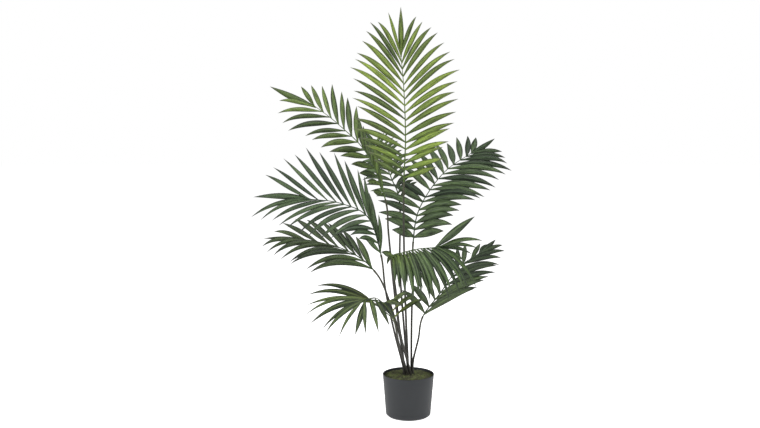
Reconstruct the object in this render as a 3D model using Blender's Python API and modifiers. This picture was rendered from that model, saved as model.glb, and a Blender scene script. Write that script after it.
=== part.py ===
"""A kentia palm about 1.2 m tall in a round plastic pot.

Nine fronds rise from the middle of the pot. Each is a slender stem, set in the soil through the
moss, and a leaf, whose midrib plugs into the stem's open end and carries two rows of leaflets.
The pot stands on z = 0 with its axis on Z, and the plant's front looks along -Y.
"""

import math
import random
from collections import namedtuple

import bmesh
import bpy
from mathutils import Matrix, Vector

# Whole plant, from the pot's rim to the tip of the topmost frond
PLANT_HEIGHT = 1.095

# Pot
POT_RADIUS = 0.078
POT_FOOT_RADIUS = 0.068
POT_HEIGHT = 0.129
POT_WALL = 0.0026
POT_FLOOR = 0.004
FOOT_CHAMFER = 0.007
RIM_ROUNDING = 0.0009
TURNED_SIDES = 48

# Soil and moss
MOSS_BELOW_RIM = 0.009
MOSS_CROWN = 0.006
MOSS_THICKNESS = 0.008
# From the middle to the wall: (share of the way, share of the crown's height above the edge)
MOSS_SHAPE = ((0.0, 1.0), (0.35, 0.9), (0.75, 0.35), (1.0, -0.2))
CLEARANCE = 0.0003

# Stems
STEM_GAP = 0.0015
STEM_FOOT_RADIUS = 0.0037
STEM_TOP_RADIUS = 0.0027
STEM_DEPTH = 0.050
STEM_SPANS = 10
SPANS_IN_SOIL = 3
ROD_ROUNDING = 2

# Plug that joins a leaf to its stem
PLUG_WIDTH = 0.0022
PLUG_LENGTH = 0.010

# Leaves
MIDRIB_WIDTH = 0.0046
MIDRIB_TIP_WIDTH = 0.0018
MIDRIB_FLATNESS = 0.8
LEAFLET_FOOT = 0.0055
LEAFLET_THICKNESS = 0.0008
LEAFLET_FORWARD_BOW = 0.05
LEAFLET_OUTLINE = ((0.08, 0.42), (0.36, 1.0), (0.70, 0.84))
TURN_DONE = 0.36
FIRST_PAIR = 0.035
LAST_PAIR = 0.975
TIP_SCATTER = 0.007

# Meshes
MERGE = 0.00001
SHARP_EDGE = math.radians(50)

Frond = namedtuple(
    "Frond",
    "name setting stalk joint spine left right end pairs width arch turn colour seed",
)

# stalk, spine, left and right are points that a smooth line runs through, from the middle of the
# pot's rim. left and right are the lines of the leaflets' tips, from the lowest pair up, on the two
# sides of the leaf seen from its upper face. end is the tip of the last, single leaflet. setting is
# the stem's place in the ring in degrees, and None is the middle. arch is how far a leaflet's middle
# stands above its ends, as a share of its length. turn is how far the topmost leaflets are turned
# about their length, in degrees. The points are those of a plant PLANT_HEIGHT tall, and are scaled
# to it from the crown's own tip.
FRONDS = (
    Frond(
        name="crown",
        setting=None,
        stalk=((-0.010, 0.000, 0.230), (-0.015, 0.005, 0.440)),
        joint=(-0.015, 0.010, 0.580),
        spine=((-0.010, 0.025, 0.710), (-0.015, 0.040, 0.855), (-0.025, 0.035, 0.965)),
        left=(
            (-0.110, -0.020, 0.650),
            (-0.155, -0.030, 0.745),
            (-0.168, -0.025, 0.845),
            (-0.158, -0.015, 0.940),
            (-0.120, -0.005, 1.030),
            (-0.070, 0.010, 1.085),
        ),
        right=(
            (0.085, -0.020, 0.630),
            (0.125, -0.030, 0.735),
            (0.145, -0.025, 0.835),
            (0.140, -0.015, 0.920),
            (0.095, -0.005, 1.015),
            (0.015, 0.010, 1.075),
        ),
        end=(-0.025, 0.020, 1.095),
        pairs=18,
        width=0.0200,
        arch=0.02,
        turn=0,
        colour=(0.36, 0.46, 0.20),
        seed=11,
    ),
    Frond(
        name="upper_left",
        setting=135,
        stalk=((-0.040, 0.015, 0.225), (-0.060, 0.035, 0.420)),
        joint=(-0.070, 0.050, 0.525),
        spine=((-0.125, 0.085, 0.660), (-0.215, 0.130, 0.750), (-0.295, 0.155, 0.810)),
        left=(
            (-0.105, 0.015, 0.550),
            (-0.165, 0.030, 0.635),
            (-0.280, 0.060, 0.700),
            (-0.380, 0.090, 0.755),
            (-0.395, 0.120, 0.830),
        ),
        right=(
            (-0.085, 0.105, 0.630),
            (-0.130, 0.150, 0.740),
            (-0.190, 0.180, 0.845),
            (-0.255, 0.185, 0.875),
            (-0.335, 0.175, 0.870),
        ),
        end=(-0.425, 0.145, 0.865),
        pairs=13,
        width=0.0190,
        arch=0.08,
        turn=0,
        colour=(0.27, 0.36, 0.20),
        seed=12,
    ),
    Frond(
        name="middle_left",
        setting=222,
        stalk=((-0.045, -0.015, 0.140), (-0.070, -0.035, 0.265)),
        joint=(-0.083, -0.050, 0.370),
        spine=((-0.120, -0.085, 0.485), (-0.200, -0.115, 0.530), (-0.295, -0.135, 0.545)),
        left=(
            (-0.120, -0.120, 0.420),
            (-0.190, -0.150, 0.445),
            (-0.270, -0.165, 0.435),
            (-0.355, -0.170, 0.470),
            (-0.460, -0.160, 0.500),
        ),
        right=(
            (-0.095, -0.100, 0.505),
            (-0.140, -0.100, 0.615),
            (-0.205, -0.110, 0.670),
            (-0.315, -0.125, 0.685),
            (-0.420, -0.135, 0.620),
        ),
        end=(-0.445, -0.140, 0.550),
        pairs=12,
        width=0.0165,
        arch=0.11,
        turn=15,
        colour=(0.20, 0.27, 0.19),
        seed=13,
    ),
    Frond(
        name="lower_left",
        setting=180,
        stalk=((-0.025, -0.005, 0.110), (-0.070, 0.005, 0.255)),
        joint=(-0.105, 0.010, 0.315),
        spine=((-0.155, 0.030, 0.355), (-0.230, 0.050, 0.385), (-0.310, 0.060, 0.395)),
        left=(
            (-0.300, -0.040, 0.315),
            (-0.335, -0.030, 0.340),
            (-0.375, -0.010, 0.355),
            (-0.420, 0.010, 0.375),
            (-0.435, 0.030, 0.395),
        ),
        right=(
            (-0.170, 0.080, 0.420),
            (-0.225, 0.095, 0.435),
            (-0.285, 0.100, 0.465),
            (-0.355, 0.100, 0.465),
            (-0.420, 0.085, 0.435),
        ),
        end=(-0.440, 0.055, 0.405),
        pairs=9,
        width=0.0185,
        arch=0.18,
        turn=25,
        colour=(0.17, 0.22, 0.15),
        seed=14,
    ),
    Frond(
        name="upper_right",
        setting=45,
        stalk=((0.010, 0.020, 0.165), (0.015, 0.040, 0.315)),
        joint=(0.015, 0.055, 0.395),
        spine=((0.035, 0.080, 0.495), (0.110, 0.120, 0.600), (0.205, 0.150, 0.665)),
        left=(
            (-0.060, 0.085, 0.430),
            (-0.100, 0.110, 0.515),
            (-0.035, 0.120, 0.580),
            (0.015, 0.150, 0.660),
            (0.100, 0.170, 0.695),
            (0.220, 0.175, 0.715),
        ),
        right=(
            (0.110, 0.010, 0.440),
            (0.160, 0.010, 0.505),
            (0.250, 0.040, 0.560),
            (0.310, 0.080, 0.615),
            (0.290, 0.120, 0.670),
        ),
        end=(0.270, 0.150, 0.705),
        pairs=15,
        width=0.0225,
        arch=0.12,
        turn=10,
        colour=(0.19, 0.27, 0.17),
        seed=15,
    ),
    Frond(
        name="lower_right",
        setting=0,
        stalk=((0.015, 0.005, 0.040), (0.030, 0.005, 0.105)),
        joint=(0.043, 0.000, 0.175),
        spine=((0.095, -0.010, 0.250), (0.150, -0.025, 0.330), (0.210, -0.035, 0.375)),
        left=(
            (-0.020, 0.010, 0.260),
            (0.045, 0.020, 0.330),
            (0.130, 0.015, 0.390),
            (0.195, 0.000, 0.395),
            (0.240, -0.020, 0.405),
        ),
        right=(
            (0.200, -0.050, 0.275),
            (0.240, -0.060, 0.315),
            (0.275, -0.065, 0.355),
            (0.280, -0.060, 0.380),
            (0.275, -0.050, 0.400),
        ),
        end=(0.255, -0.040, 0.415),
        pairs=10,
        width=0.0190,
        arch=0.10,
        turn=15,
        colour=(0.20, 0.28, 0.17),
        seed=16,
    ),
    Frond(
        name="front",
        setting=305,
        stalk=((-0.025, -0.030, 0.130), (-0.040, -0.060, 0.270)),
        joint=(-0.052, -0.087, 0.365),
        spine=((-0.020, -0.115, 0.387), (0.025, -0.160, 0.405), (0.075, -0.200, 0.415)),
        left=(
            (-0.085, -0.060, 0.375),
            (-0.015, -0.080, 0.295),
            (0.065, -0.120, 0.285),
            (0.145, -0.160, 0.370),
            (0.205, -0.200, 0.435),
        ),
        right=(
            (-0.040, -0.150, 0.305),
            (-0.005, -0.190, 0.275),
            (0.060, -0.225, 0.275),
            (0.125, -0.250, 0.295),
            (0.180, -0.255, 0.315),
        ),
        end=(0.175, -0.230, 0.505),
        pairs=14,
        width=0.0180,
        arch=0.16,
        turn=45,
        colour=(0.20, 0.31, 0.20),
        seed=17,
    ),
    Frond(
        name="bottom_left",
        setting=262,
        stalk=((-0.012, -0.020, 0.035), (-0.030, -0.025, 0.100)),
        joint=(-0.045, -0.047, 0.175),
        spine=((-0.075, -0.085, 0.230), (-0.100, -0.125, 0.257), (-0.130, -0.170, 0.260)),
        left=(
            (0.055, -0.100, 0.255),
            (-0.010, -0.140, 0.270),
            (-0.050, -0.190, 0.195),
            (-0.075, -0.220, 0.180),
            (-0.120, -0.240, 0.175),
        ),
        right=(
            (-0.270, -0.060, 0.290),
            (-0.300, -0.100, 0.245),
            (-0.295, -0.150, 0.205),
            (-0.255, -0.200, 0.180),
            (-0.200, -0.230, 0.170),
        ),
        end=(-0.155, -0.245, 0.175),
        pairs=8,
        width=0.0205,
        arch=0.18,
        turn=65,
        colour=(0.24, 0.32, 0.19),
        seed=18,
    ),
    Frond(
        name="rear",
        setting=90,
        stalk=((-0.010, 0.030, 0.100), (-0.025, 0.065, 0.310)),
        joint=(-0.025, 0.120, 0.505),
        spine=((-0.050, 0.155, 0.580), (-0.080, 0.215, 0.645), (-0.105, 0.290, 0.680)),
        left=(
            (-0.105, 0.180, 0.525),
            (-0.145, 0.220, 0.585),
            (-0.155, 0.270, 0.635),
            (-0.145, 0.320, 0.675),
            (-0.125, 0.350, 0.705),
        ),
        right=(
            (0.030, 0.190, 0.560),
            (0.015, 0.225, 0.625),
            (-0.010, 0.270, 0.675),
            (-0.040, 0.320, 0.710),
            (-0.075, 0.350, 0.725),
        ),
        end=(-0.135, 0.375, 0.720),
        pairs=12,
        width=0.0170,
        arch=0.10,
        turn=0,
        colour=(0.18, 0.25, 0.16),
        seed=19,
    ),
)


class Section:
    """A rectangle across a midrib, a plug or a leaflet: its centre, two directions and two sizes."""

    def __init__(self, centre, across, up, width, height):
        self.centre = centre
        self.across = across
        self.up = up
        self.width = width
        self.height = height

    def moved(self, way):
        """The same section, moved."""
        return Section(self.centre + way, self.across, self.up, self.width, self.height)

    def corner(self, side, face):
        """The corner on one side (1 or -1 across) and one face (1 or -1 up)."""
        return self.centre + self.across * (side * self.width / 2) + self.up * (face * self.height / 2)


class Line:
    """A smooth line through points, followed by the share of its length from 0 to 1."""

    STEPS = 24

    def __init__(self, points):
        self.knots = [Vector(point) for point in points]
        spans = len(self.knots) - 1
        self.trail = [self.blend(step / self.STEPS) for step in range(spans * self.STEPS + 1)]
        self.reach = [0.0]
        for before, after in zip(self.trail, self.trail[1:]):
            self.reach.append(self.reach[-1] + (after - before).length)
        self.length = self.reach[-1]

    def blend(self, place):
        """Catmull-Rom point, where place counts knots from the first."""
        span = min(int(place), len(self.knots) - 2)
        t = place - span
        one, two = self.knots[span], self.knots[span + 1]
        before = self.knots[span - 1] if span else one * 2 - two
        after = self.knots[span + 2] if span + 2 < len(self.knots) else two * 2 - one
        straight = one * 2 + (two - before) * t
        bend = (before * 2 - one * 5 + two * 4 - after) * t ** 2
        twist = (one * 3 - before - two * 3 + after) * t ** 3
        return (straight + bend + twist) / 2

    def at(self, share):
        """The point that share of the way along."""
        wanted = share * self.length
        step = max(1, next((i for i, far in enumerate(self.reach) if far >= wanted), len(self.reach) - 1))
        span = self.reach[step] - self.reach[step - 1]
        rest = (wanted - self.reach[step - 1]) / span
        return self.trail[step - 1].lerp(self.trail[step], rest)

    def heading(self, share):
        """The unit direction that share of the way along."""
        nudge = 0.01
        return (self.at(min(share + nudge, 1.0)) - self.at(max(share - nudge, 0.0))).normalized()


def clear_scene():
    for obj in list(bpy.data.objects):
        bpy.data.objects.remove(obj, do_unlink=True)


def new_collection(name):
    collection = bpy.data.collections.new(name)
    bpy.context.scene.collection.children.link(collection)
    return collection


def material(name, colour, roughness):
    made = bpy.data.materials.new(name)
    made.use_nodes = True
    shader = made.node_tree.nodes["Principled BSDF"]
    shader.inputs["Base Color"].default_value = (*(part ** 2.2 for part in colour), 1.0)
    shader.inputs["Roughness"].default_value = roughness
    shader.inputs["Metallic"].default_value = 0.0
    return made


def add_object(name, mesh, collection, surface=None):
    obj = bpy.data.objects.new(name, mesh)
    collection.objects.link(obj)
    if surface:
        mesh.materials.append(surface)
    return obj


def settle(obj, place, parent):
    """Puts an object's origin at a place, with its shape where it was, and gives it a parent."""
    obj.data.transform(Matrix.Translation(-place))
    obj.location = place - parent.matrix_world.translation
    obj.parent = parent
    bpy.context.view_layer.update()


def as_cutter(obj):
    obj.hide_render = True
    obj.display_type = "WIRE"
    return obj


def turned(name, profile, collection, surface):
    """A profile of (radius, height) points, turned about Z."""
    mesh = bpy.data.meshes.new(name)
    points = [(radius, 0.0, height) for radius, height in profile]
    mesh.from_pydata(points, [(i, i + 1) for i in range(len(points) - 1)], [])
    obj = add_object(name, mesh, collection, surface)
    screw = obj.modifiers.new("turn", "SCREW")
    screw.steps = TURNED_SIDES
    screw.render_steps = TURNED_SIDES
    screw.use_merge_vertices = True
    screw.merge_threshold = MERGE
    screw.use_smooth_shade = True
    return obj


def wall_radius(height):
    """The outer radius of the pot's wall at a height."""
    share = (height - FOOT_CHAMFER) / (POT_HEIGHT - FOOT_CHAMFER)
    return POT_FOOT_RADIUS + (POT_RADIUS - POT_FOOT_RADIUS) * share


def inner_radius(height):
    return wall_radius(height) - POT_WALL


def build_pot(collection):
    """The pot: a thin tapered shell with a flat base, a sloped foot and a rounded rim."""
    lip = POT_HEIGHT - RIM_ROUNDING
    profile = (
        (0.0, POT_FLOOR),
        (inner_radius(FOOT_CHAMFER) - FOOT_CHAMFER, POT_FLOOR),
        (inner_radius(FOOT_CHAMFER + POT_FLOOR), FOOT_CHAMFER + POT_FLOOR),
        (inner_radius(lip), lip),
        (inner_radius(POT_HEIGHT) + RIM_ROUNDING, POT_HEIGHT),
        (POT_RADIUS - RIM_ROUNDING, POT_HEIGHT),
        (wall_radius(lip), lip),
        (POT_FOOT_RADIUS, FOOT_CHAMFER),
        (POT_FOOT_RADIUS - FOOT_CHAMFER, 0.0),
        (0.0, 0.0),
    )
    surface = material("pot_plastic", (0.265, 0.27, 0.275), 0.55)
    return turned("pot", profile, collection, surface)


def moss_edge_height():
    return POT_HEIGHT - MOSS_BELOW_RIM


def build_soil(collection):
    """The plug of soil that fills the pot up to the moss and holds the stems."""
    top = moss_edge_height() - MOSS_THICKNESS - CLEARANCE
    low = POT_FLOOR + CLEARANCE
    bend = FOOT_CHAMFER + POT_FLOOR
    profile = (
        (0.0, top),
        (inner_radius(top) - CLEARANCE, top),
        (inner_radius(bend) - CLEARANCE, bend),
        (inner_radius(FOOT_CHAMFER) - FOOT_CHAMFER - CLEARANCE, low),
        (0.0, low),
    )
    return turned("soil", profile, collection, material("soil", (0.16, 0.12, 0.09), 0.95))


def build_moss(collection):
    """The layer of moss on the soil, a little higher round the stems than at the wall."""
    edge = moss_edge_height()
    low = edge - MOSS_THICKNESS
    rim = inner_radius(edge) - CLEARANCE
    surface = [(rim * across, edge + MOSS_CROWN * up) for across, up in MOSS_SHAPE]
    profile = [*surface, (inner_radius(low) - CLEARANCE, low), (0.0, low)]
    return turned("moss", profile, collection, material("moss", (0.27, 0.28, 0.13), 0.95))


def on_rim(*points):
    """A frond's points, scaled to the plant's height and stood on the pot's rim."""
    scale = PLANT_HEIGHT / FRONDS[0].end[2]
    rim = Vector((0.0, 0.0, POT_HEIGHT))
    return [rim + Vector(point) * scale for point in points]


def ring_radius():
    """The radius of the ring of stems, at which the two closest keep their gap."""
    settings = sorted(frond.setting for frond in FRONDS if frond.setting is not None)
    closest = min(after - before for before, after in zip(settings, settings[1:]))
    return (STEM_FOOT_RADIUS + STEM_GAP / 2) / math.sin(math.radians(closest) / 2)


def stem_foot(frond):
    """Where a stem comes out of the moss."""
    ground = moss_edge_height() + MOSS_CROWN
    if frond.setting is None:
        return Vector((0.0, 0.0, ground))
    angle = math.radians(frond.setting)
    return Vector((ring_radius() * math.cos(angle), ring_radius() * math.sin(angle), ground))


def frond_route(frond):
    """The whole line from the stem's lower end to the midrib's tip, and the share that is stem."""
    foot = stem_foot(frond)
    to_joint = [foot - Vector((0.0, 0.0, STEM_DEPTH)), foot, *on_rim(*frond.stalk, frond.joint)]
    whole = Line([*to_joint, *on_rim(*frond.spine)])
    return whole, Line(to_joint).length / whole.length


def tube(name, points, radii, collection, surface=None):
    """A closed round rod through points, as a mesh."""
    curve = bpy.data.curves.new(name, "CURVE")
    curve.dimensions = "3D"
    curve.bevel_depth = max(radii)
    curve.bevel_resolution = ROD_ROUNDING
    curve.use_fill_caps = True
    spline = curve.splines.new("POLY")
    spline.points.add(len(points) - 1)
    for knot, point, radius in zip(spline.points, points, radii):
        knot.co = (*point, 1.0)
        knot.radius = radius / max(radii)
    guide = add_object(name + "_line", curve, collection)
    graph = bpy.context.evaluated_depsgraph_get()
    mesh = bpy.data.meshes.new_from_object(guide.evaluated_get(graph))
    bpy.data.objects.remove(guide, do_unlink=True)
    bpy.data.curves.remove(curve)
    mesh.name = name
    skin = bmesh.new()
    skin.from_mesh(mesh)
    bmesh.ops.remove_doubles(skin, verts=skin.verts, dist=MERGE)
    bmesh.ops.recalc_face_normals(skin, faces=skin.faces)
    skin.to_mesh(mesh)
    skin.free()
    mesh.shade_smooth()
    mesh.set_sharp_from_angle(angle=SHARP_EDGE)
    return add_object(name, mesh, collection, surface)


def subtract(obj, cutter, name):
    cut = obj.modifiers.new(name, "BOOLEAN")
    cut.operation = "DIFFERENCE"
    cut.solver = "EXACT"
    cut.object = cutter


def build_stem(frond, collection, cutters, bedding, holder):
    """A frond's stem, its socket for the leaf, and its holes in what it stands in."""
    route, joint = frond_route(frond)
    heading = route.heading(joint)
    top = route.at(joint)
    bore = heading * (PLUG_LENGTH + CLEARANCE)
    shares = [step / STEM_SPANS for step in range(STEM_SPANS)]
    points = [*(route.at(joint * share) for share in shares), top - bore, top]
    slim = STEM_FOOT_RADIUS - STEM_TOP_RADIUS
    radii = [*(STEM_FOOT_RADIUS - slim * share for share in shares), STEM_TOP_RADIUS, STEM_TOP_RADIUS]
    name = frond.name + "_stem"
    stem = tube(name, points, radii, collection, material(name, (0.20, 0.19, 0.16), 0.6))

    base = points[0] - Vector((0.0, 0.0, CLEARANCE))
    hole_points = [base, *points[1:SPANS_IN_SOIL + 1]]
    hole_radii = [radius + CLEARANCE for radius in radii[:SPANS_IN_SOIL + 1]]
    hole = as_cutter(tube(frond.name + "_hole", hole_points, hole_radii, cutters))
    for bed in bedding:
        subtract(bed, hole, frond.name + "_hole")

    ends = [top - bore, top + heading * PLUG_LENGTH]
    plug_corner = math.hypot(PLUG_WIDTH, PLUG_WIDTH * MIDRIB_FLATNESS) / 2
    socket_radii = [plug_corner + CLEARANCE] * 2
    socket = as_cutter(tube(frond.name + "_socket", ends, socket_radii, cutters))
    subtract(stem, socket, "socket")
    settle(stem, stem_foot(frond), holder)
    settle(socket, stem_foot(frond), holder)
    return stem


def face_within(skin, ring):
    """The face whose corners a ring holds."""
    return skin.faces.get([ring[1, 1], ring[1, -1], ring[-1, -1], ring[-1, 1]])


def start_body(skin, first, second):
    """A closed block between two sections. Returns its corners at the second, and their face."""
    made = bmesh.ops.create_cube(skin, size=2.0)
    ring = {}
    for vert in made["verts"]:
        side, face, end = (round(value) for value in vert.co)
        if end > 0:
            ring[side, face] = vert
            vert.co = second.corner(side, face)
        else:
            vert.co = first.corner(side, face)
    return ring, face_within(skin, ring)


def extrude_to(skin, ring, face, section):
    """Extrudes a face to a section, corner to corner. Returns the new corners and face."""
    place = {tuple(vert.co): key for key, vert in ring.items()}
    cap = bmesh.ops.extrude_discrete_faces(skin, faces=[face])["faces"][0]
    grown = {place[tuple(vert.co)]: vert for vert in cap.verts}
    for (side, up), vert in grown.items():
        vert.co = section.corner(side, up)
    return grown, cap


def side_of(skin, first, last, side):
    """The face between two rings on one side of a midrib, with its corners named for a leaflet."""
    far = {(1, face): last[side, face] for face in (1, -1)}
    near = {(-1, face): first[side, face] for face in (1, -1)}
    ring = {**far, **near}
    return ring, face_within(skin, ring)


def grow_leaflet(skin, ring, face, tip, along, up, turned, frond):
    """A pointed leaflet from one face of the midrib to its tip, arched and flat."""
    foot = face.calc_center_median()
    chord = tip - foot
    control = foot.lerp(tip, 0.5)
    control += along * (LEAFLET_FORWARD_BOW * chord.length)
    control.z += frond.arch * chord.length
    width_line = along - chord * (along.dot(chord) / chord.length_squared)
    for share, part in LEAFLET_OUTLINE:
        near = foot.lerp(control, share)
        far = control.lerp(tip, share)
        heading = (far - near).normalized()
        across = (width_line - heading * width_line.dot(heading)).normalized()
        normal = heading.cross(across)
        if normal.dot(up) < 0:
            normal.negate()
        up = normal
        turn = turned * min(1.0, share / TURN_DONE)
        turned_across = across * math.cos(turn) - normal * math.sin(turn)
        turned_normal = normal * math.cos(turn) + across * math.sin(turn)
        place = near.lerp(far, share)
        section = Section(place, turned_across, turned_normal, frond.width * part, LEAFLET_THICKNESS)
        ring, face = extrude_to(skin, ring, face, section)
    finish_tip(skin, face, tip)


def finish_tip(skin, face, tip):
    """Extrudes a face to a point."""
    cap = bmesh.ops.extrude_discrete_faces(skin, faces=[face])["faces"][0]
    bmesh.ops.pointmerge(skin, verts=list(cap.verts), merge_co=tip)


def scattered(point, chance):
    return point + Vector([chance.uniform(-TIP_SCATTER, TIP_SCATTER) for _ in range(3)])


def midrib_section(route, share, side_line, width):
    """A section of the midrib whose width follows side_line."""
    heading = route.heading(share)
    across = (side_line - heading * side_line.dot(heading)).normalized()
    return Section(route.at(share), across, across.cross(heading), width, width * MIDRIB_FLATNESS)


def start_leaf(skin, route, joint, side_line):
    """The plug and the collar that stops it. Returns the collar's corners and upper face."""
    heading = route.heading(joint)
    root = midrib_section(route, joint, side_line, PLUG_WIDTH)
    stop = root.moved(heading * CLEARANCE)
    ring, face = start_body(skin, root.moved(heading * -PLUG_LENGTH), stop)
    collar = stop.moved(heading * CLEARANCE)
    collar.width = MIDRIB_WIDTH
    collar.height = MIDRIB_WIDTH * MIDRIB_FLATNESS
    return extrude_to(skin, ring, face, collar)


def build_leaf(frond, collection, stem):
    """A frond's leaf: plug, midrib, two rows of leaflets and the last, single one."""
    route, joint = frond_route(frond)
    left, right = Line(on_rim(*frond.left)), Line(on_rim(*frond.right))
    chance = random.Random(frond.seed)
    skin = bmesh.new()

    ring, face = start_leaf(skin, route, joint, right.at(0) - left.at(0))
    half_foot = LEAFLET_FOOT / 2 / route.length
    rows = []
    for pair in range(frond.pairs):
        along = pair / (frond.pairs - 1)
        share = joint + (1.0 - joint) * (FIRST_PAIR + (LAST_PAIR - FIRST_PAIR) * along)
        side_line = right.at(along) - left.at(along)
        width = MIDRIB_WIDTH + (MIDRIB_TIP_WIDTH - MIDRIB_WIDTH) * along
        below = midrib_section(route, share - half_foot, side_line, width)
        above = midrib_section(route, share + half_foot, side_line, width)
        first, face = extrude_to(skin, ring, face, below)
        ring, face = extrude_to(skin, first, face, above)
        rows.append((along, share, first, ring))
    top = midrib_section(route, 1.0, side_line, LEAFLET_FOOT)
    grow_end(skin, ring, face, top, *on_rim(frond.end), frond.width)

    for along, share, first, last in rows:
        up = midrib_section(route, share, right.at(along) - left.at(along), MIDRIB_WIDTH).up
        turned = math.radians(frond.turn) * along
        for side, tips in ((-1, left), (1, right)):
            named, flank = side_of(skin, first, last, side)
            tip = scattered(tips.at(along), chance)
            grow_leaflet(skin, named, flank, tip, route.heading(share), up, turned, frond)

    bmesh.ops.recalc_face_normals(skin, faces=skin.faces)
    mesh = bpy.data.meshes.new(frond.name + "_leaf")
    skin.to_mesh(mesh)
    skin.free()
    surface = material(frond.name + "_leaf", frond.colour, 0.5)
    leaf = add_object(frond.name + "_leaf", mesh, collection, surface)
    settle(leaf, *on_rim(frond.joint), stem)


def grow_end(skin, ring, face, top, end, width):
    """The single leaflet at the end of the midrib, in line with it."""
    chord = end - top.centre
    across = (top.across - chord * (top.across.dot(chord) / chord.length_squared)).normalized()
    normal = across.cross(chord.normalized())
    for share, part in LEAFLET_OUTLINE:
        section = Section(top.centre.lerp(end, share), across, normal, width * part, LEAFLET_THICKNESS)
        ring, face = extrude_to(skin, ring, face, section)
    finish_tip(skin, face, end)


def main():
    clear_scene()
    palm = new_collection("potted_palm")
    cutters = new_collection("cutters")
    holder = add_object("palm_holder", None, palm)
    pot = build_pot(palm)
    soil = build_soil(palm)
    moss = build_moss(palm)
    for piece in (pot, soil, moss):
        piece.parent = holder
    for frond in FRONDS:
        stem = build_stem(frond, palm, cutters, (soil, moss), holder)
        build_leaf(frond, palm, stem)


main()
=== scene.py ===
"""The looks of a kentia palm in a round plastic pot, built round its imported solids.

Each operator makes one group of pieces: the pot, the soil, the moss, the stems, the leaves and the
studio. Stems and leaves are swept by node trees along guide lines, and the moss is grown from tufts.
"""

import math
import random
from collections import namedtuple

import bmesh
import bpy
from bpy.props import FloatProperty, FloatVectorProperty, IntProperty, PointerProperty
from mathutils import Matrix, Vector, noise


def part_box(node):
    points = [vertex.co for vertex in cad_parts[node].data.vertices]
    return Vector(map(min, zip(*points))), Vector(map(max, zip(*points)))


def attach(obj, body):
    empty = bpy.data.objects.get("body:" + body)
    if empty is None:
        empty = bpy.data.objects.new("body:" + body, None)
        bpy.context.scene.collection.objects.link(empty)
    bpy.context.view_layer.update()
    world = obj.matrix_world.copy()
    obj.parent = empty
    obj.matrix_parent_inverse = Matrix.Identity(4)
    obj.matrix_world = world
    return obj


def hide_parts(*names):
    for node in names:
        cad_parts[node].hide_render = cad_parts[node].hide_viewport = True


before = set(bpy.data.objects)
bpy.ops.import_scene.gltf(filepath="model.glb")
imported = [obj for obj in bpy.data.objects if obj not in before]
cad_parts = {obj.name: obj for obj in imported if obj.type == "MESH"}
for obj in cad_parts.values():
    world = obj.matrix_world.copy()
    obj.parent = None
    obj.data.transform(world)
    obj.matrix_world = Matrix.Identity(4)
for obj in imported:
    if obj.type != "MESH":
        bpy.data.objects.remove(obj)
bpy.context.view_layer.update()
POT_LOW, POT_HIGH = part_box("pot")
SOIL_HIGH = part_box("soil")[1]
MOSS_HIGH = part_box("moss")[1]

bl_info = {
    "name": "Potted palm",
    "version": (1, 0, 0),
    "blender": (4, 5, 0),
    "location": "3D View > Sidebar > Palm",
    "description": "Makes a kentia palm in a pot: stems, leaves, moss, pot and a studio",
    "category": "Add Mesh",
}

# The gap between stems, how far they reach into the soil, and the leaf's plug in its stem
STEM_GAP = 0.0015
STEM_DEPTH = 0.050
PLUG_LENGTH = 0.010

# Where the first and last pairs and the end leaflet stand, as shares of the midrib, how far the
# leaflets' tips stray, and the share of a leaflet's length in which it turns
FIRST_PAIR = 0.035
LAST_PAIR = 0.975
END_FOOT = 0.985
TIP_SCATTER = 0.007
TURN_DONE = 0.36

# The pot's floor, and the moss against the pot's wall and below its rim, darkened there by painted shade
FLOOR_THICKNESS = 0.004
MOSS_CLEARANCE = 0.0011
MOSS_EDGE = 0.0105
MOSS_PAINTED_SHADE_BELOW = 0.0115
MOSS_PAINTED_SHADE_DEPTH = 0.006
MOSS_RINGS = 26
MOSS_SIDES = 96

# The studio's floor
FLOOR_REACH = 12.0
FLOOR_GAP = 0.0002

Frond = namedtuple(
    "Frond",
    "name setting stalk joint spine left right end end_width pairs width arch bow left_turn right_turn "
    "seed slot green base tip",
)

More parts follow.
